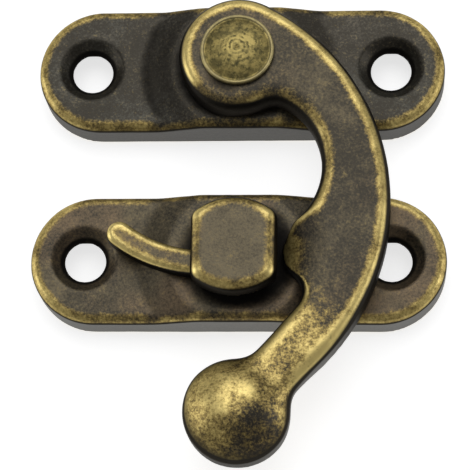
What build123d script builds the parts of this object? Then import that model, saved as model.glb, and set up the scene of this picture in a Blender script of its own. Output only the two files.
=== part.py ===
"""Swing-hook hasp latch for a small box: two cast plates, a riveted hook and a turning catch.

Millimetres, Z up. The latch lies on its back: the plates' rims stand on z = 0, X runs along
the plates and Y from the catch plate to the hook plate. The origin is below the middle of
the whole latch.
"""
import os
from math import acos, asin, atan2, cos, degrees, hypot, radians, sin

from build123d import *

os.makedirs("parts", exist_ok=True)

# Both plates are one casting: a long round-ended plate, hollow at the back
plate_len = 28.0
plate_w = 8.9
plate_h = 2.6
plate_wall = 1.1  # top wall that the hollow leaves
plate_rim = 1.0  # side wall round the hollow
plate_edge_r = 0.7
plate_pitch = 13.6  # from the hook's pivot to the catch's pivot

# Countersunk holes for the wood screws
screw_spacing = 20.6
screw_r = 1.35
sink_r = 2.2
sink_soft_r = 0.4  # rounding where a countersink meets the face

# Raised round boss in the middle of each plate, cut off by the plate's long sides
boss_h = 0.75
boss_top_r = 4.65
boss_base_r = 6.6
boss_soft_r = 1.5  # radius where the boss's slope meets the flats

# Running clearances
pivot_gap = 0.05  # round a pivot's shank
face_gap = 0.05  # between faces that slide on each other

# Swing hook: an eye, an arm bent round one centre, a straight shank and a ball
hook_t = 2.4
hook_edge_r = 0.9
eye_r = 4.05
hook_reach = 10.27  # from the pivot out to the arm's widest point
arm_rise = 3.3  # centre of the arm's bend above the catch's pivot
arm_w = 3.75
arm_end_deg = -43.0  # direction from the bend's centre to where the shank starts
shank_len = 6.4
ball_r = 3.55
ball_side = 1.5  # upright side of the ball below its dome
ball_h = 3.6
ball_rim_r = 1.2
ball_blend_r = 1.0  # where the shank runs into the ball
eye_blend_r = 0.5

# The hook's inner side: throat below the eye, then the beak that closes on the catch
throat_top = 3.0  # top of the throat below the hook's pivot
throat_low = 0.7  # bottom of the throat's circle above the catch's pivot
throat_reach = 5.67  # from the pivot out to the throat's widest point
beak_root_deg = -50.4  # direction from the throat's centre to the beak's upper end
beak_rise = 0.1  # beak's front above the line through the catch
beak_gap = 0.15  # beak to the flat of the catch's head
beak_len = 1.2  # blunt front of the beak
beak_nose_r = 1.3
notch_r = 1.5
beak_tip_h = 0.85  # thickness left at the beak's tip by the ramp
ramp_run = 3.2  # how far the ramp reaches back from the beak's tip
ramp_out_deg = 7.0  # slope at which the ramp runs out into the hook's face

# Pivot rivet
shank_r = 1.25
rivet_head_r = 2.5
rivet_rim_h = 0.35
rivet_rim_w = 0.22
rivet_dome_h = 0.42
peen_r = 2.0
peen_h = 0.55

# Turning catch: a nearly square head with bowed ends on a round neck, with a finger tail
head_w = 5.7
head_len = 6.55
head_bow_r = 4.2
head_corner_r = 0.9
head_t = 1.55
head_edge_r = 0.8
head_lift = 1.65  # head's underside above the boss
neck_post_r = 2.25
tail_w = 1.75
tail_t = 1.3
tail_edge_r = 0.5
tail_bend_r = 9.5
tail_start_x = -1.9
tail_low_y = 1.05
tail_sweep_deg = 38.0

# Levels and places that follow
hollow_top = plate_h - plate_wall
boss_top = plate_h + boss_h
hook_z = boss_top + face_gap
hook_top = hook_z + hook_t
eye_bore_r = shank_r + pivot_gap
plate_bore_r = shank_r + pivot_gap

# The arm's outer edge touches the eye's circle from outside and reaches out to hook_reach
arm_y = arm_rise - plate_pitch
past_eye = hook_reach - eye_r
arm_x = (past_eye**2 - arm_y**2) / (2 * past_eye)
arm_r = hook_reach - arm_x
arm_mid_r = arm_r - arm_w / 2
throat_r = (plate_pitch - throat_top - throat_low) / 2
throat_x = throat_reach - throat_r
throat_y = -throat_top - throat_r

end_dir = radians(arm_end_deg)
ball_x = arm_x + arm_mid_r * cos(end_dir) + shank_len * sin(end_dir)
ball_y = arm_y + arm_mid_r * sin(end_dir) - shank_len * cos(end_dir)
pivot_y = (ball_r - ball_y - plate_w / 2) / 2  # puts the origin below the middle
catch_y = pivot_y - plate_pitch

beak_x = head_w / 2 + beak_gap
beak_y = beak_rise - plate_pitch


def screw_plate(centre_y):
    """One plate: round-ended, with its boss, hollow back, pivot bore and screw holes."""
    with BuildPart() as plate:
        with BuildSketch(Plane(origin=(0, centre_y, 0))):
            SlotOverall(plate_len, plate_w)
        extrude(amount=boss_top)
        # everything outside the boss is turned away down to the plate's face
        with BuildSketch(Plane(origin=(0, centre_y, 0), x_dir=(1, 0, 0), z_dir=(0, -1, 0))) as ring:
            with BuildLine():
                Polyline(
                    (0, boss_top),
                    (boss_top_r, boss_top),
                    (boss_base_r, plate_h),
                    (plate_len, plate_h),
                    (plate_len, boss_top + 1),
                    (0, boss_top + 1),
                    close=True,
                )
            make_face()
            slope_ends = ring.vertices().filter_by(
                lambda v: abs(v.X - boss_top_r) < 0.01 or abs(v.X - boss_base_r) < 0.01
            )
            fillet(slope_ends, boss_soft_r)
        revolve(axis=Axis((0, centre_y, 0), (0, 0, 1)), mode=Mode.SUBTRACT)
        top_edges = plate.edges().filter_by(lambda e: e.center().Z > plate_h - 0.01)
        fillet(top_edges.filter_by(lambda e: on_outline(e, centre_y)), plate_edge_r)
        with BuildSketch(Plane(origin=(0, centre_y, 0))):
            SlotOverall(plate_len - 2 * plate_rim, plate_w - 2 * plate_rim)
        extrude(amount=hollow_top, mode=Mode.SUBTRACT)
        with Locations((0, centre_y, boss_top)):
            Hole(plate_bore_r, plate_h + boss_h)
        for side in (-1, 1):
            with Locations((side * screw_spacing / 2, centre_y, plate_h)):
                CounterSinkHole(screw_r, sink_r, plate_h, counter_sink_angle=90)
        rims = plate.edges().filter_by(GeomType.CIRCLE).filter_by(lambda e: abs(e.radius - sink_r) < 0.01)
        fillet(rims.filter_by(lambda e: abs(e.center().Z - plate_h) < 0.01), sink_soft_r)
    return plate


def on_outline(edge, centre_y):
    """True for an edge that lies on the plate's outer side wall."""
    half = plate_w / 2
    for t in (0.0, 0.5, 1.0):
        p = edge @ t
        past_end = max(abs(p.X) - (plate_len / 2 - half), 0)
        reach = (past_end**2 + (p.Y - centre_y) ** 2) ** 0.5
        if abs(reach - half) > 0.01:
            return False
    return True


hook_plate = screw_plate(pivot_y)
hook_plate.part.label = "hook_plate"
export_step(hook_plate.part, "parts/hook_plate.step")

catch_plate = screw_plate(catch_y)
catch_plate.part.label = "catch_plate"
export_step(catch_plate.part, "parts/catch_plate.step")


def near(sketch, point):
    """The sketch's corner nearest to a point."""
    return min(sketch.vertices(), key=lambda v: hypot(v.X - point[0], v.Y - point[1]))


def polar(x, y, radius, deg):
    """A point at a radius and direction from a centre."""
    return (x + radius * cos(radians(deg)), y + radius * sin(radians(deg)))


with BuildPart() as swing_hook:
    # the outline's corners, from the pivot
    arm_start_deg = degrees(atan2(-arm_y, -arm_x))
    arm_out = polar(arm_x, arm_y, arm_r, arm_end_deg)
    arm_in = polar(arm_x, arm_y, arm_r - arm_w, arm_end_deg)
    shank_out = polar(*arm_out, shank_len, arm_end_deg - 90)
    shank_in = polar(*arm_in, shank_len, arm_end_deg - 90)
    beak_front = (beak_x, beak_y)
    beak_foot = (beak_x + 0.25, beak_y - beak_len)
    beak_root = polar(throat_x, throat_y, throat_r, beak_root_deg)
    # the beak's lower side runs down at 45 degrees to the arm's inner edge
    foot_x = beak_foot[0] - arm_x
    foot_y = beak_foot[1] - arm_y
    half_sum = (foot_x - foot_y) / 2
    run = (half_sum**2 - (foot_x**2 + foot_y**2 - (arm_r - arm_w) ** 2) / 2) ** 0.5 - half_sum
    notch = (beak_foot[0] + run, beak_foot[1] - run)
    notch_deg = degrees(atan2(notch[1] - arm_y, notch[0] - arm_x))
    # where the throat's circle leaves the eye
    throat_d = hypot(throat_x, throat_y)
    along = (eye_r**2 - throat_r**2 + throat_d**2) / (2 * throat_d)
    eye_low_deg = degrees(atan2(throat_y, throat_x) + acos(along / eye_r))
    eye_low = polar(0, 0, eye_r, eye_low_deg)
    throat_top_deg = degrees(atan2(eye_low[1] - throat_y, eye_low[0] - throat_x))

    with BuildSketch(Plane(origin=(0, pivot_y, hook_z))) as outline:
        with BuildLine():
            CenterArc((arm_x, arm_y), arm_r, arm_start_deg, arm_end_deg - arm_start_deg)
            Polyline(arm_out, shank_out, shank_in, arm_in)
            CenterArc((arm_x, arm_y), arm_r - arm_w, arm_end_deg, notch_deg - arm_end_deg)
            Polyline(notch, beak_foot, beak_front, beak_root)
            CenterArc((throat_x, throat_y), throat_r, beak_root_deg, throat_top_deg - beak_root_deg)
            CenterArc((0, 0), eye_r, eye_low_deg, arm_start_deg - eye_low_deg - 360)
        make_face()
        for corner, radius in (
            (eye_low, eye_blend_r),
            (beak_root, beak_nose_r),
            (beak_front, beak_nose_r),
            (beak_foot, beak_nose_r),
            (notch, notch_r),
        ):
            fillet(near(outline, corner), radius)
    extrude(amount=hook_t)
    shank_end = Vector(ball_x, pivot_y + ball_y, hook_top)
    rim = swing_hook.faces().sort_by(Axis.Z)[-1].edges()
    fillet(rim.filter_by(lambda e: (e.center() - shank_end).length > 0.1), hook_edge_r)
    # ball: an upright side and a dome, turned from the side away from the shank
    ball_plane = Plane(origin=(ball_x, pivot_y + ball_y, hook_z), x_dir=(-1, 0, 0), z_dir=(0, 1, 0))
    with BuildSketch(ball_plane) as ball:
        dome_rise = ball_h - ball_side
        dome_r = (ball_r**2 + dome_rise**2) / (2 * dome_rise)
        dome_deg = degrees(acos(ball_r / dome_r))
        with BuildLine():
            Line((0, 0), (ball_r, 0))
            Line((ball_r, 0), (ball_r, ball_side))
            CenterArc((0, ball_h - dome_r), dome_r, dome_deg, 90 - dome_deg)
            Line((0, ball_h), (0, 0))
        make_face()
        fillet(near(ball, (ball_r, ball_side)), ball_rim_r)
    revolve(axis=Axis((ball_x, pivot_y + ball_y, 0), (0, 0, 1)))
    seam = swing_hook.edges(Select.NEW).filter_by(lambda e: e.center().Z > hook_z + 0.01)
    fillet(seam, ball_blend_r)
    # ramp: the beak is turned down round the catch so that it passes below the head
    with BuildSketch(Plane(origin=(0, catch_y, hook_z), x_dir=(1, 0, 0), z_dir=(0, -1, 0))):
        out_dir = radians(ramp_out_deg)
        drop = hook_t - beak_tip_h
        ramp_r = (ramp_run**2 + drop**2) / (2 * (drop * cos(out_dir) - ramp_run * sin(out_dir)))
        tip_deg = degrees(asin(ramp_run / ramp_r + sin(out_dir)))
        ramp_x = beak_x + ramp_run + ramp_r * sin(out_dir)
        ramp_z = hook_t - ramp_r * cos(out_dir)
        ramp_end = polar(ramp_x, ramp_z, ramp_r, 90 + ramp_out_deg)
        ramp_tip = polar(ramp_x, ramp_z, ramp_r, 90 + tip_deg)
        with BuildLine():
            CenterArc((ramp_x, ramp_z), ramp_r, 90 + ramp_out_deg, tip_deg - ramp_out_deg)
            Polyline(ramp_tip, (0, ramp_tip[1]), (0, hook_t + 1), (ramp_end[0], hook_t + 1), ramp_end)
        make_face()
    revolve(axis=Axis((0, catch_y, 0), (0, 0, 1)), mode=Mode.SUBTRACT)
    with Locations((0, pivot_y, hook_top)):
        Hole(eye_bore_r, hook_t)

swing_hook.part.label = "swing_hook"
export_step(swing_hook.part, "parts/swing_hook.step")


with BuildPart() as pivot_rivet:
    rivet_z = hook_top + face_gap
    with BuildSketch(Plane(origin=(0, pivot_y, 0), x_dir=(1, 0, 0), z_dir=(0, -1, 0))):
        with BuildLine():
            rim_in = rivet_head_r - rivet_rim_w
            dome_z = rivet_z + rivet_rim_h
            Polyline(
                (0, hollow_top - peen_h),
                (peen_r - 0.35, hollow_top - peen_h),
                (peen_r, hollow_top - peen_h + 0.3),
                (peen_r, hollow_top),
                (shank_r, hollow_top),
                (shank_r, rivet_z),
                (rivet_head_r, rivet_z),
                (rivet_head_r, dome_z - 0.08),
                (rivet_head_r - 0.08, dome_z),
                (rim_in, dome_z),
                (rim_in - 0.08, dome_z - 0.08),
            )
            ThreePointArc(
                (rim_in - 0.08, dome_z - 0.08),
                (rim_in * 0.55, dome_z + rivet_dome_h * 0.68),
                (0.16, dome_z + rivet_dome_h),
            )
            Polyline(
                (0.16, dome_z + rivet_dome_h),
                (0, dome_z + rivet_dome_h - 0.12),
                (0, hollow_top - peen_h),
            )
        make_face()
    revolve(axis=Axis((0, pivot_y, 0), (0, 0, 1)))

pivot_rivet.part.label = "pivot_rivet"
export_step(pivot_rivet.part, "parts/pivot_rivet.step")


with BuildPart() as turn_catch:
    post_z = boss_top + face_gap
    head_z = boss_top + head_lift
    # finger tail, bent up towards its tip
    tail_z = boss_top + 2 * face_gap
    with BuildSketch(Plane(origin=(0, catch_y, tail_z))):
        bend = CenterArc(
            (tail_start_x, tail_low_y + tail_bend_r),
            tail_bend_r,
            270,
            -tail_sweep_deg,
            mode=Mode.PRIVATE,
        )
        SlotArc(bend, tail_w)
    extrude(amount=tail_t)
    fillet(turn_catch.faces().sort_by(Axis.Z)[-1].edges(), tail_edge_r)
    # head: flat sides left and right, bowed ends
    with BuildSketch(Plane(origin=(0, catch_y, head_z))) as head:
        Rectangle(head_w, head_len)
        for side in (-1, 1):
            with Locations((0, side * (head_len / 2 - head_bow_r))):
                Circle(head_bow_r, mode=Mode.INTERSECT)
        fillet(head.vertices(), head_corner_r)
    extrude(amount=head_t)
    fillet(turn_catch.faces().sort_by(Axis.Z)[-1].edges(), head_edge_r)
    # round neck, tenon through the plate and its peened end
    with BuildSketch(Plane(origin=(0, catch_y, post_z))):
        Circle(neck_post_r)
    extrude(amount=head_z - post_z)
    peen_top = hollow_top - face_gap
    with BuildSketch(Plane(origin=(0, catch_y, peen_top))):
        Circle(shank_r)
    extrude(amount=post_z - peen_top)
    with BuildSketch(Plane(origin=(0, catch_y, peen_top))):
        Circle(peen_r)
    extrude(amount=-(peen_h - face_gap))

turn_catch.part.label = "turn_catch"
export_step(turn_catch.part, "parts/turn_catch.step")
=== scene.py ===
# %% [markdown]
# # A small swing-hook hasp latch in antique bronze
# The real latch is five small zinc castings and turnings with a thin bronze finish. The finish was
# blackened and then tumbled, so it is nearly black in the corners, grey-brown on the flats and bare
# brass wherever something rubs. We load the measured solids first.

# %% Load the latch
from math import cos, radians, sin

import bmesh
import bpy
from mathutils import Matrix, Vector


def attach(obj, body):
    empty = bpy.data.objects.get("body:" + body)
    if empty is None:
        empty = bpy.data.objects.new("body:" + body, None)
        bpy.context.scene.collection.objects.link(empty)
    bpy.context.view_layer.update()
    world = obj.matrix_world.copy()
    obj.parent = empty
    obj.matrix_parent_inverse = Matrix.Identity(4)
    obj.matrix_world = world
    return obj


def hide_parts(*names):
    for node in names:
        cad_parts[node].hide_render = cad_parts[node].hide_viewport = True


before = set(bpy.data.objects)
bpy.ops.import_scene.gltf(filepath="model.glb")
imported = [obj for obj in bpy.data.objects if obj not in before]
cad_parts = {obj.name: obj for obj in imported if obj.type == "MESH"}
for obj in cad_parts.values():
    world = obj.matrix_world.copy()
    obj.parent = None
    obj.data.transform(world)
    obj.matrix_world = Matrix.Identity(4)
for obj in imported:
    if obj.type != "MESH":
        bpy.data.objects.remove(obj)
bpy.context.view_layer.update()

MM = 0.001


print("pieces:", sorted(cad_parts))

# %% [markdown]
# ## Arithmetic with node sockets
# Patterns are sums and products of noises and masks. Written as nodes they are hard to follow, so one
# small class wraps a socket: an expression such as `1 - mask` adds the Math node by itself. Its method
# `node` adds any other node, with the settings first and then the values or links of its sockets.
# The same class serves shader trees and geometry trees.

# %% One class for node arithmetic
def plug(tree, target, value):
    """Links a wire to a socket, or sets the socket's own value."""
    if isinstance(value, Wire):
        tree.links.new(value.socket, target)
    else:
        target.default_value = value


class Wire:
    """A node's output that takes part in Python arithmetic."""

    def __init__(self, tree, socket=None):
        self.tree = tree
        self.socket = socket

    def node(self, kind, settings=None, inputs=None, output=0):
        made = self.tree.nodes.new(kind)
        for key, value in (settings or {}).items():
            setattr(made, key, value)
        for key, value in (inputs or {}).items():
            plug(self.tree, made.inputs[key], value)
        return Wire(self.tree, made.outputs[output])

    def math(self, operation, a, b):
        return self.node("ShaderNodeMath", {"operation": operation}, {0: a, 1: b})

    def __add__(self, other):
        return self.math("ADD", self, other)

    def __radd__(self, other):
        return self.math("ADD", other, self)

    def __sub__(self, other):
        return self.math("SUBTRACT", self, other)

    def __rsub__(self, other):
        return self.math("SUBTRACT", other, self)

    def __mul__(self, other):
        return self.math("MULTIPLY", self, other)

    def __rmul__(self, other):
        return self.math("MULTIPLY", other, self)

    def __truediv__(self, other):
        return self.math("DIVIDE", self, other)

    def __rtruediv__(self, other):
        return self.math("DIVIDE", other, self)


def clamped(wire, low, high):
    """0 below low, 1 above high, with a soft step between."""
    return wire.node(
        "ShaderNodeMapRange",
        {"interpolation_type": "SMOOTHSTEP"},
        {"Value": wire, "From Min": low, "From Max": high},
    )


def blended(factor, a, b):
    """A colour between a and b."""
    return factor.node("ShaderNodeMix", {"data_type": "RGBA"}, {0: factor, 6: a, 7: b}, output=2)


print("node arithmetic is ready")

# %% [markdown]
# ## Casting skin
# A solid's mesh has long thin triangles, and nothing on it knows where an edge or a corner is. We cover
# each casting with an even skin: a voxel remesh of a merged copy, a little smoothing for the softness of
# a casting, and then a Geometry Nodes tree. The tree sinks a slight unevenness into the skin and stores
# six masks that the finish reads. Comparing each point with the blurred shape around it shows whether
# the skin bulges, as on an edge that gets rubbed bare, or dips, as in a corner that keeps its black. The
# other masks are how upright the skin stands and how near it lies to a rubbed spot, a spot of painted
# shade or a sheltered spot.

# %% Geometry tree for the casting skin
SPOT = (0.0, 0.6)  # a spot's mask is 1 at its centre and 0 at its reach; this is how it fades in


def skin_tree():
    tree = bpy.data.node_groups.new("casting skin", "GeometryNodeTree")
    face = tree.interface
    face.new_socket("Geometry", in_out="INPUT", socket_type="NodeSocketGeometry")
    for name, kind in (
        ("Grain depth", "NodeSocketFloat"),
        ("Grain size", "NodeSocketFloat"),
        ("Seed", "NodeSocketFloat"),
        ("Edge blur", "NodeSocketInt"),
        ("Corner blur", "NodeSocketInt"),
        ("Blend blur", "NodeSocketInt"),
        ("Blend centre", "NodeSocketVector"),
        ("Second blend centre", "NodeSocketVector"),
        ("Blend reach", "NodeSocketFloat"),
        ("Rub centre", "NodeSocketVector"),
        ("Rub reach", "NodeSocketFloat"),
        # where painted shade goes: the centres of its spots and their reach
        ("Stain centre", "NodeSocketVector"),
        ("Second stain centre", "NodeSocketVector"),
        ("Stain reach", "NodeSocketFloat"),
        ("Shelter centre", "NodeSocketVector"),
        ("Shelter radius", "NodeSocketFloat"),
        ("Finish", "NodeSocketMaterial"),
    ):
        face.new_socket(name, in_out="INPUT", socket_type=kind)
    face.new_socket("Geometry", in_out="OUTPUT", socket_type="NodeSocketGeometry")

    given = tree.nodes.new("NodeGroupInput")
    values = {socket.name: Wire(tree, socket) for socket in given.outputs if socket.name}
    start = Wire(tree)
    place = start.node("GeometryNodeInputPosition")
    outward = start.node("GeometryNodeInputNormal")

    def vector(operation, a, b, output=0):
        return start.node("ShaderNodeVectorMath", {"operation": operation}, {0: a, 1: b}, output)

    def averaged(turns):
        """The place that a point gets when it is averaged with its neighbours again and again."""
        inputs = {"Value": place, "Iterations": turns}
        return start.node("GeometryNodeBlurAttribute", {"data_type": "FLOAT_VECTOR"}, inputs)

    def bulge(turns):
        """How far a point stands out of the averaged shape, along its normal."""
        return vector("DOT_PRODUCT", vector("SUBTRACT", place, averaged(turns)), outward, output=1)

    def distance(name, point=place):
        """How far a point is from the centre that the input of that name gives."""
        return vector("DISTANCE", point, values[name], output=1)

    def part_of(wire, axis):
        return start.node("ShaderNodeSeparateXYZ", inputs={0: wire}, output=axis)

    def size_of(wire):
        return start.node("ShaderNodeMath", {"operation": "ABSOLUTE"}, {0: wire})

    # first, two spots of the casting flow together
    from_blend = start.math("MINIMUM", distance("Blend centre"), distance("Second blend centre"))
    flow = clamped(1 - from_blend / values["Blend reach"], *SPOT)
    flowed = start.node(
        "ShaderNodeMix",
        {"data_type": "VECTOR"},
        {"Factor": flow, 4: place, 5: averaged(values["Blend blur"])},
        output=1,
    )
    moved = {"Geometry": values["Geometry"], "Position": flowed}
    skin = start.node("GeometryNodeSetPosition", inputs=moved)

    # then the masks; both screw holes fold onto one, since they lie the same way left and right
    # painted shade: how near a point lies to the spots of painted shade
    from_shade_spot = start.math("MINIMUM", distance("Stain centre"), distance("Second stain centre"))
    halves = {0: size_of(part_of(place, 0)), 1: part_of(place, 1)}
    folded = start.node("ShaderNodeCombineXYZ", inputs=halves)
    masks = {
        "wear": bulge(values["Edge blur"]),
        "corner": bulge(values["Corner blur"]) * -1,
        "side": 1 - size_of(part_of(outward, 2)),
        "rub": 1 - distance("Rub centre") / values["Rub reach"],
        "spot_shade": 1 - from_shade_spot / values["Stain reach"],
        "shelter": distance("Shelter centre", folded) - values["Shelter radius"],
    }
    for name, mask in masks.items():
        skin = start.node(
            "GeometryNodeStoreNamedAttribute",
            {"data_type": "FLOAT", "domain": "POINT"},
            {"Geometry": skin, "Name": name, "Value": mask},
        )

    # last, the unevenness of a casting
    uneven = start.node(
        "ShaderNodeTexNoise",
        {"noise_dimensions": "4D"},
        {"Vector": place, "W": values["Seed"], "Scale": 1 / values["Grain size"], "Detail": 2.0},
    )
    sink = vector("MULTIPLY", outward, uneven * values["Grain depth"] * -1)
    skin = start.node("GeometryNodeSetPosition", inputs={"Geometry": skin, "Offset": sink})
    skin = start.node("GeometryNodeRealizeInstances", inputs={"Geometry": skin})
    skin = start.node("GeometryNodeSetShadeSmooth", inputs={"Geometry": skin})
    dressed = {"Geometry": skin, "Material": values["Finish"]}
    skin = start.node("GeometryNodeSetMaterial", inputs=dressed)
    tree.links.new(skin.socket, tree.nodes.new("NodeGroupOutput").inputs[0])
    return tree


casting_skin = skin_tree()
print("tree inputs:", [item.name for item in casting_skin.interface.items_tree])

# %% [markdown]
# The solids are in metres, and a voxel remesh works badly at a ten-thousandth of a metre. So the copy is
# blown up to millimetres first and brought back at the end. `new_from_object` turns the evaluated result
# into a plain mesh, which keeps the masks as attributes.

# %% Make a skin over one solid
MERGE = 0.0005
SOFTNESS = 0.5
NOWHERE = (1000.0, 0.0, 0.0)
NO_SPOTS = {
    "Blend_blur": 0, "Blend_reach": 1.0, "Blend_centre": NOWHERE, "Second_blend_centre": NOWHERE,
    "Stain_reach": 1.0, "Stain_centre": NOWHERE, "Second_stain_centre": NOWHERE,
    "Rub_reach": 1.0, "Rub_centre": NOWHERE,
    "Shelter_radius": 1.0, "Shelter_centre": NOWHERE,
}


def cover(node, body, slot, finish, voxel=0.1, smooth=3, **sizes):
    """A skin over one solid, which then stands in for it."""
    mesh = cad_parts[node].data.copy()
    shape = bmesh.new()
    shape.from_mesh(mesh)
    bmesh.ops.scale(shape, vec=[1 / MM] * 3, verts=shape.verts)
    bmesh.ops.remove_doubles(shape, verts=shape.verts, dist=MERGE)
    shape.to_mesh(mesh)
    shape.free()
    blank = bpy.data.objects.new("blank_" + node, mesh)
    bpy.context.scene.collection.objects.link(blank)

    remesh = blank.modifiers.new("even skin", "REMESH")
    remesh.mode = "VOXEL"
    remesh.voxel_size = voxel
    soften = blank.modifiers.new("softness of a casting", "SMOOTH")
    soften.factor = SOFTNESS
    soften.iterations = smooth
    skin = blank.modifiers.new("casting skin", "NODES")
    skin.node_group = casting_skin
    items = casting_skin.interface.items_tree
    sockets = {item.name: item.identifier for item in items if item.in_out == "INPUT"}
    for name, value in {**NO_SPOTS, **sizes}.items():
        skin[sockets[name.replace("_", " ")]] = value
    skin[sockets["Finish"]] = finish

    evaluated = blank.evaluated_get(bpy.context.evaluated_depsgraph_get())
    made = bpy.data.meshes.new_from_object(evaluated)
    made.transform(Matrix.Scale(MM, 4))
    bpy.data.objects.remove(blank)
    piece = bpy.data.objects.new(node + "_skin", made)
    bpy.context.scene.collection.objects.link(piece)
    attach(piece, body)
    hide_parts(node)
    bulges = [point.value for point in made.attributes["wear"].data]
    lowest, highest = round(min(bulges), 3), round(max(bulges), 3)
    print(node, len(made.polygons), "faces, bulge from", lowest, "to", highest, "mm")


print("a skin is measured in millimetres and kept in metres")

# %% [markdown]
# ## Antique bronze
# Under the dark finish there is brass. Tumbling takes the dark off the edges first, in a broken line, so
# the mask for bare brass is the bulge of the skin, broken up by a wide cloud, middling patches and a fine
# grain. Hands rub the ball and the shank. Brass on the beak's ramp is painted light, which brightens that
# slope. The countersinks and the notch beside the beak keep no bare brass, the countersinks are black
# towards the hole, and corners keep black oxide. Painted shade blackens the skin where it slopes away,
# the plates round their bosses, the ball's lower right and the eye's lower lip.

# %% Start of every finish
def new_finish(name):
    """An empty material, and a wire with the place on the piece in millimetres."""
    finish = bpy.data.materials.new(name)
    finish.use_nodes = True
    finish.node_tree.nodes.clear()
    start = Wire(finish.node_tree)
    metres = start.node("ShaderNodeTexCoord", output="Object")
    place = start.node("ShaderNodeVectorMath", {"operation": "SCALE"}, {0: metres, "Scale": 1 / MM})
    return finish, place


def noise(place, scale, detail, rough=0.5):
    inputs = {"Vector": place, "Scale": scale, "Detail": detail, "Roughness": rough}
    return place.node("ShaderNodeTexNoise", inputs=inputs)


def bumped(height):
    """A normal with a very low relief."""
    inputs = {"Strength": 0.45, "Distance": 0.04 * MM, "Height": height}
    return height.node("ShaderNodeBump", inputs=inputs)


def show(finish, shader):
    """Sends a shader to the material's output."""
    output = finish.node_tree.nodes.new("ShaderNodeOutputMaterial")
    plug(finish.node_tree, output.inputs["Surface"], shader)


print("finishes measure in millimetres too")

# %% Colours, patterns and thresholds of the antique finish
# black of oxide in corners, and of painted shade round the spots of painted shade
OXIDE_AND_SHADE_BLACK = (0.010, 0.009, 0.008, 1)
UMBER = (0.040, 0.036, 0.029, 1)
# painted shade on slopes that turn away
SLOPE_SHADE_BLACK = (0.020, 0.018, 0.015, 1)
SLATE = (0.094, 0.092, 0.079, 1)
TAN = (0.150, 0.110, 0.070, 1)
PEWTER = (0.125, 0.104, 0.067, 1)
DULL_BRASS = (0.290, 0.210, 0.070, 1)
BARE_BRASS = (0.720, 0.570, 0.215, 1)
GREY_WALL = (0.250, 0.248, 0.240, 1)
SLATE_WALL = (0.170, 0.168, 0.162, 1)
DARK_WALL = (0.020, 0.018, 0.016, 1)
EDGE_TINT = (0.45, 0.44, 0.42, 1)

# each noise's scale per millimetre, its detail and its roughness
CLOUD_NOISE = (0.32, 2.0, 0.5)
PATCH_NOISE = (1.3, 3.0, 0.65)
GRAIN_NOISE = (5.5, 3.0, 0.75)
FLECK_NOISE = (7.5, 2.0, 0.5)
WARM_NOISE = (0.22, 1.0, 0.5)
NOISE_MEAN = 0.5

# where each mask begins and where it is full
EXPOSED = (-0.2, 0.7)
SUNK = (-1.0, -0.7)
RAMP_STARTS = (0.03, 0.18)
RAMP_ENDS = (0.4, 0.6)
UPRIGHT = (0.8, 0.93)
DULL = (0.1, 0.8)
BRIGHT = (0.45, 1.25)
OXIDE_AND_SHADE_RANGE = (0.15, 0.9)
LIGHT = (0.75, 1.35)
WARM = (0.42, 0.62)
FLECK = (0.63, 0.72)
SHADE_SLOPE_WIDTH = 0.28

# how strongly the masks and noises count
LEAST_BULGE = 0.025
WEAR_GAIN = 17.0
EVEN_WEAR = 0.5
SHADE_SPOT_COVER = 0.7
BARE_PATCHES, RUBBED_PATCHES, BARE_GRAIN = 0.9, 0.8, 1.3
HELD_SHADE_SHIFT = 0.2
CORNER_GAIN = 8.0
SHELTERED_CORNER = 0.25
SOOT_PATCHES = 0.6
LIGHT_CLOUDS, LIGHT_PATCHES, LIGHT_GRAIN = 0.5, 0.4, 1.2
FLECK_SHARE = 0.15
ROUGH, BRIGHT_GLOSS, GRAIN_ROUGH, OXIDE_AND_SHADE_ROUGH = 0.44, 0.08, 0.3, 0.15
GRAIN_HEIGHT = 0.7
ANTIQUE_METAL = 0.9
print("bare brass", BARE_BRASS[:3], "lies under umber", UMBER[:3])

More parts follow.
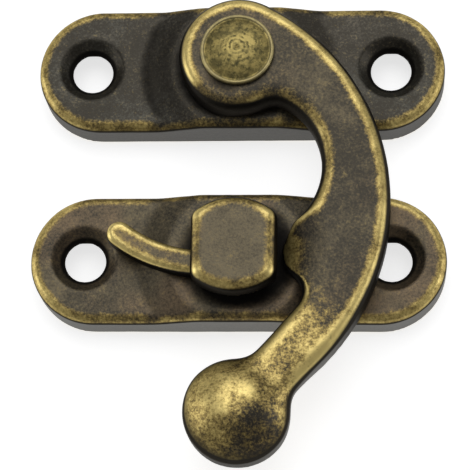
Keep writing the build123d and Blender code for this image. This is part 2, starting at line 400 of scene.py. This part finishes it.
# %% Antique bronze finish
def antique_bronze(
    name, flat, wall, shade_slope, brown,
    wear=1.0, tone=0.0, sink=0.0, ramp_glint=0.0, rub=0.0, spot_shade=0.0, pale=0.0,
):
    """The blackened finish. flat and wall are colours; the slope value gives where painted shade turns a
    sloping edge black.

    The other values are strengths: brown of tan on the flats, wear of brass on the edges, tone of the
    flats' lightness, sink of black in the countersinks, the ramp value of painted light in brass on the
    beak's ramp, rub of the rubbed spot, the spot value of painted shade round the spots of painted shade,
    and pale of grey on the walls of the rubbed spot.
    """
    finish, place = new_finish(name)

    def mask(attribute):
        return place.node("ShaderNodeAttribute", {"attribute_name": attribute}, output="Fac")

    cloud = noise(place, *CLOUD_NOISE)
    patch = noise(place, *PATCH_NOISE)
    grain = noise(place, *GRAIN_NOISE)
    fleck = clamped(noise(place, *FLECK_NOISE), *FLECK)
    patchy = patch - NOISE_MEAN
    grainy = grain - NOISE_MEAN
    exposed = clamped(mask("shelter"), *EXPOSED)
    hollow = 1 - clamped(mask("shelter"), *SUNK)
    held = clamped(mask("rub"), *SPOT)
    # painted shade near its spots, which also hides the brass there
    spot_shaded = clamped(mask("spot_shade"), *SPOT)
    side = mask("side")
    upright = clamped(side, *UPRIGHT)

    # bare brass from wear, and painted light in brass on the beak's ramp
    bulge = place.math("MAXIMUM", mask("wear") - LEAST_BULGE, 0.0)
    worn = bulge * (WEAR_GAIN * wear) * (EVEN_WEAR + cloud) * exposed
    rubbed = held * rub
    # painted light: brass brightens the beak's ramp, a slope that faces the dark head
    ramp = clamped(side, *RAMP_STARTS) * (1 - clamped(side, *RAMP_ENDS)) * (1 - exposed) * ramp_glint
    bare = (worn + rubbed) * (1 - spot_shaded * SHADE_SPOT_COVER) + ramp
    bare = bare + patchy * (BARE_PATCHES + rubbed * RUBBED_PATCHES) + grainy * (BARE_GRAIN + rubbed)
    dull = clamped(bare, *DULL)
    bright = clamped(bare, *BRIGHT)

    # black: painted shade on slopes that turn away, oxide in corners, painted shade round its spots and
    # black in the countersinks
    # painted shade: the skin turns black where it slopes away, less so on the rubbed spot
    shade = clamped(side - held * HELD_SHADE_SHIFT, shade_slope, shade_slope + SHADE_SLOPE_WIDTH)
    corner = mask("corner") * CORNER_GAIN * (SHELTERED_CORNER + exposed * (1 - SHELTERED_CORNER))
    # oxide in corners, painted shade round its spots and black in the countersinks
    black = corner + spot_shaded * (1 - upright) * spot_shade + hollow * sink + patchy * SOOT_PATCHES
    oxide_and_shade = clamped(black, *OXIDE_AND_SHADE_RANGE)

    light = clamped(cloud * LIGHT_CLOUDS + patch * LIGHT_PATCHES + grain * LIGHT_GRAIN + tone, *LIGHT)
    warm = clamped(noise(place, *WARM_NOISE), *WARM)
    colour = blended(light, UMBER, blended(warm * brown, flat, TAN))
    colour = blended(fleck * FLECK_SHARE, colour, DULL_BRASS)
    colour = blended(dull, colour, DULL_BRASS)
    colour = blended(bright, colour, BARE_BRASS)
    # painted shade on slopes
    colour = blended(shade, colour, SLOPE_SHADE_BLACK)
    colour = blended(upright, colour, wall)
    colour = blended(upright * held * pale, colour, GREY_WALL)
    # oxide in corners, black in the countersinks and painted shade round its spots
    colour = blended(oxide_and_shade, colour, OXIDE_AND_SHADE_BLACK)
    inputs = {
        "Base Color": colour,
        "Roughness": ROUGH - bright * BRIGHT_GLOSS + grainy * GRAIN_ROUGH + oxide_and_shade * OXIDE_AND_SHADE_ROUGH,
        "Metallic": ANTIQUE_METAL,
        "Specular Tint": EDGE_TINT,
        "Normal": bumped(grain * GRAIN_HEIGHT + patch),
    }
    show(finish, place.node("ShaderNodeBsdfPrincipled", inputs=inputs))
    return finish


hook_plate_finish = antique_bronze(
    "antique bronze on the hook plate", SLATE, SLATE_WALL, shade_slope=0.42, brown=0.2,
    wear=0.9, tone=-0.16, sink=0.9, spot_shade=1.1,
)
catch_plate_finish = antique_bronze(
    "antique bronze on the catch plate", PEWTER, GREY_WALL, shade_slope=0.42, brown=0.9,
    wear=0.95, tone=0.03, sink=0.9, spot_shade=1.8,
)
hook_finish = antique_bronze(
    "antique bronze on the hook", PEWTER, DARK_WALL, shade_slope=0.1, brown=0.4,
    wear=0.95, tone=-0.08, ramp_glint=0.8, rub=0.6, spot_shade=0.7, pale=0.8,
)
catch_finish = antique_bronze(
    "antique bronze on the catch", PEWTER, DARK_WALL, shade_slope=0.24, brown=0.6,
    wear=0.72, tone=0.1, rub=0.1,
)
print("finishes:", [material.name for material in bpy.data.materials if "bronze" in material.name])

# %% [markdown]
# All places below are in millimetres in the latch's own frame. On a plate the sheltered spots are its two
# countersinks, and painted shade lies round its boss, where the hook's eye or the catch's head shades it.
# On the hook the sheltered spot is the notch beside the beak, the rubbed one is the ball and shank, and
# painted shade lies on the ball's lower right and along the eye's lower lip.

# %% Cover the castings
HOOK_PIVOT = (0.0, 11.751, 0.0)
CATCH_PIVOT = (0.0, -1.849, 0.0)
SCREW_OFFSET = Vector((10.3, 0.0, 0.0))
COUNTERSINK = 2.5
THUMB_SPOT = (1.8, -10.3, 5.5)
# centres of painted shade on the hook: the ball's lower right and the eye's lower lip
BALL_SHADE_SPOT = (1.8, -14.5, 6.3)
EYE_LIP_SHADE = (-1.3, 8.4, 4.8)
NOTCH = (2.6, -4.0, 0.0)
BALL_NECK = (2.0, -10.9, 5.6)
EYE_CORNER = (2.8, 7.9, 5.0)
FINGER_SPOT = (-6.2, 0.2, 4.7)
calm = {"Grain_depth": 0.05, "Grain_size": 2.2, "Corner_blur": 60}
# painted shade round each plate's boss, where the hook's eye or the catch's head shades it
for node, finish, pivot, shade_shift, shade_reach, seed in (
    ("hook_plate", hook_plate_finish, HOOK_PIVOT, -1.2, 7.6, 1.0),
    ("catch_plate", catch_plate_finish, CATCH_PIVOT, 0.3, 6.6, 2.0),
):
    cover(
        node, "plates", "antique_bronze", finish, Seed=seed, Edge_blur=36,
        Stain_centre=Vector(pivot) + Vector((shade_shift, 0, 0)), Stain_reach=shade_reach,
        Shelter_centre=Vector(pivot) + SCREW_OFFSET, Shelter_radius=COUNTERSINK, **calm,
    )
cover(
    "swing_hook", "hook", "antique_bronze", hook_finish, smooth=6, Seed=3.0, Edge_blur=60,
    Rub_centre=THUMB_SPOT, Rub_reach=8.4,
    Stain_centre=BALL_SHADE_SPOT, Second_stain_centre=EYE_LIP_SHADE, Stain_reach=3.0,
    Blend_centre=BALL_NECK, Second_blend_centre=EYE_CORNER, Blend_reach=5.0, Blend_blur=90,
    Shelter_centre=NOTCH, Shelter_radius=3.2, **calm,
)
cover(
    "turn_catch", "catch", "antique_bronze", catch_finish, smooth=2, Seed=4.0, Edge_blur=48,
    Rub_centre=FINGER_SPOT, Rub_reach=5.0, **calm,
)

# %% [markdown]
# ## Turned rivet
# The rivet is plain brass from a lathe. Its head has a thin bright rim and faint rings from the tool, and
# dark spots of tarnish, more of them towards the edge, where painted shade also darkens the head. The
# rings are a sine of the distance from the rivet's axis.

# %% Turned brass finish
OLIVE = (0.12, 0.10, 0.04, 1)
TURNED_BRASS = (0.36, 0.285, 0.10, 1)
TARNISH = (0.070, 0.066, 0.032, 1)
RIM_BRASS = (0.32, 0.27, 0.14, 1)
RING_PITCH = 22.0  # radians of the sine per millimetre
RING_WOBBLE = 0.2
RIM = (2.18, 2.28)
EDGE = (0.4, 1.7)
TURNED_LIGHT = (0.32, 0.62)
TARNISHED = (0.52, 0.68)
WOBBLE_NOISE = (1.5, 2.0)
LIGHT_NOISE = (1.5, 4.0, 0.7)
TARNISH_NOISE = (2.8, 3.0, 0.7)
SPECK_NOISE = (4.0, 3.0)
# painted shade towards the head's edge, and more tarnish there
EDGE_SHADE_AND_TARNISH = 0.03
RING_LIGHT, RING_TARNISH = 0.045, 0.06
RING_HEIGHT, SPECK_HEIGHT = 0.15, 0.6
TARNISH_SHARE, RIM_SHARE = 0.75, 0.6
TURNED_ROUGH, TARNISH_ROUGH = 0.46, 0.2
TURNED_METAL = 0.95


def turned_brass():
    finish, place = new_finish("turned brass")
    level = place.node("ShaderNodeVectorMath", {"operation": "MULTIPLY"}, {0: place, 1: (1, 1, 0)})
    ends = {0: level, 1: HOOK_PIVOT}
    radius = place.node("ShaderNodeVectorMath", {"operation": "DISTANCE"}, ends, output=1)
    rim = clamped(radius, *RIM)
    edge = clamped(radius, *EDGE)
    wobbly = radius + (noise(place, *WOBBLE_NOISE) - NOISE_MEAN) * RING_WOBBLE
    rings = place.node("ShaderNodeMath", {"operation": "SINE"}, {0: wobbly * RING_PITCH}) * (1 - edge)
    # painted shade darkens the head towards its edge
    tone_and_shade = noise(place, *LIGHT_NOISE) + rings * RING_LIGHT - edge * EDGE_SHADE_AND_TARNISH
    spots = noise(place, *TARNISH_NOISE) - rings * RING_TARNISH + edge * EDGE_SHADE_AND_TARNISH
    tarnish = clamped(spots, *TARNISHED) * (1 - rim)
    colour = blended(clamped(tone_and_shade, *TURNED_LIGHT), OLIVE, TURNED_BRASS)
    colour = blended(tarnish * TARNISH_SHARE, colour, TARNISH)
    colour = blended(rim * RIM_SHARE, colour, RIM_BRASS)
    inputs = {
        "Base Color": colour,
        "Roughness": TURNED_ROUGH + tarnish * TARNISH_ROUGH,
        "Metallic": TURNED_METAL,
        "Normal": bumped(rings * RING_HEIGHT + noise(place, *SPECK_NOISE) * SPECK_HEIGHT),
    }
    show(finish, place.node("ShaderNodeBsdfPrincipled", inputs=inputs))
    return finish


cover(
    "pivot_rivet", "plates", "turned_brass", turned_brass(), voxel=0.05, smooth=1, Seed=5.0,
    Grain_depth=0.015, Grain_size=1.2, Edge_blur=20, Corner_blur=40,
)

# %% [markdown]
# ## White floor and soft light
# The latch lies on white. The floor is pale and keeps the shadow; a little light of its own, seen only by
# the camera and by reflections, lifts it to white. One soft panel hangs overhead. Two more stand left and
# right, because the real edges gleam towards both sides while the flats stay dark.

# %% Floor, world and lamps
FLOOR_HALF = 1.5
FLOOR_LEVEL = -0.03 * MM
FLOOR_PAINT = (0.5, 0.5, 0.5, 1)
FLOOR_GLOW = 0.72
WHITE = (1, 1, 1, 1)
ROOM_LIGHT = 0.28


def pale_floor():
    mesh = bpy.data.meshes.new("floor")
    signs = ((-1, -1), (1, -1), (1, 1), (-1, 1))
    corners = [(x * FLOOR_HALF, y * FLOOR_HALF, FLOOR_LEVEL) for x, y in signs]
    mesh.from_pydata(corners, [], [(0, 1, 2, 3)])
    floor = bpy.data.objects.new("floor", mesh)
    bpy.context.scene.collection.objects.link(floor)
    finish = bpy.data.materials.new("white floor")
    finish.use_nodes = True
    finish.node_tree.nodes.clear()
    start = Wire(finish.node_tree)
    camera = start.node("ShaderNodeLightPath", output="Is Camera Ray")
    glossy = start.node("ShaderNodeLightPath", output="Is Glossy Ray")
    paint = start.node("ShaderNodeBsdfDiffuse", inputs={"Color": FLOOR_PAINT})
    tone_and_shade = start.node("ShaderNodeEmission", inputs={"Strength": (camera + glossy) * FLOOR_GLOW})
    show(finish, start.node("ShaderNodeAddShader", inputs={0: paint, 1: tone_and_shade}))
    mesh.materials.append(finish)


def white_world():
    world = bpy.data.worlds.new("white room")
    bpy.context.scene.world = world
    world.use_nodes = True
    tree = world.node_tree
    tree.nodes.clear()
    start = Wire(tree)
    camera = start.node("ShaderNodeLightPath", output="Is Camera Ray")
    light = start.node("ShaderNodeBackground", inputs={"Color": WHITE, "Strength": ROOM_LIGHT})
    white = start.node("ShaderNodeBackground", inputs={"Color": WHITE, "Strength": 1.0})
    both = start.node("ShaderNodeMixShader", inputs={0: camera, 1: light, 2: white})
    plug(tree, tree.nodes.new("ShaderNodeOutputWorld").inputs["Surface"], both)


def panel(name, place, size, power):
    """A square soft panel that faces the latch."""
    lamp = bpy.data.lights.new(name, "AREA")
    lamp.shape = "SQUARE"
    lamp.size = size
    lamp.energy = power
    stand = bpy.data.objects.new(name, lamp)
    stand.location = place
    stand.rotation_euler = (Vector((0, 0, 0)) - Vector(place)).to_track_quat("-Z", "Y").to_euler()
    bpy.context.scene.collection.objects.link(stand)


pale_floor()
white_world()
panel("overhead panel", (0.0, 0.14, 0.27), size=0.30, power=0.55)
panel("left panel", (-0.28, 0.0, 0.09), size=0.14, power=0.18)
panel("right panel", (0.28, 0.0, 0.09), size=0.14, power=0.18)
bpy.context.scene.view_settings.view_transform = "Standard"

# %% [markdown]
# ## Camera
# The picture was taken from a little to the right and 17 degrees off straight above, with the camera
# slightly rolled. A long lens keeps the plates nearly parallel.

# %% Camera at the photograph's angle
AZIMUTH, ELEVATION, ROLL = radians(14.232), radians(72.508), radians(-13.756)
AIM = Vector((-0.129, -0.332, 3.0)) * MM
FAR = 0.140
PIXELS_PER_MM = 14.981
PHOTO_PIXELS = 470
SENSOR = 36.0

back = Vector((sin(AZIMUTH) * cos(ELEVATION), -cos(AZIMUTH) * cos(ELEVATION), sin(ELEVATION)))
right = Vector((cos(AZIMUTH), sin(AZIMUTH), 0))
up = back.cross(right)
across = cos(ROLL) * right + sin(ROLL) * up
upward = cos(ROLL) * up - sin(ROLL) * right
lens = bpy.data.cameras.new("camera")
lens.sensor_width = SENSOR
lens.lens = PIXELS_PER_MM * FAR / MM / PHOTO_PIXELS * SENSOR
lens.clip_start = 0.01
camera = bpy.data.objects.new("camera", lens)
turn = Matrix((across, upward, back)).transposed().to_4x4()
camera.matrix_world = Matrix.Translation(AIM + back * FAR) @ turn
bpy.context.scene.collection.objects.link(camera)
bpy.context.scene.camera = camera
print("lens", round(lens.lens, 1), "mm")
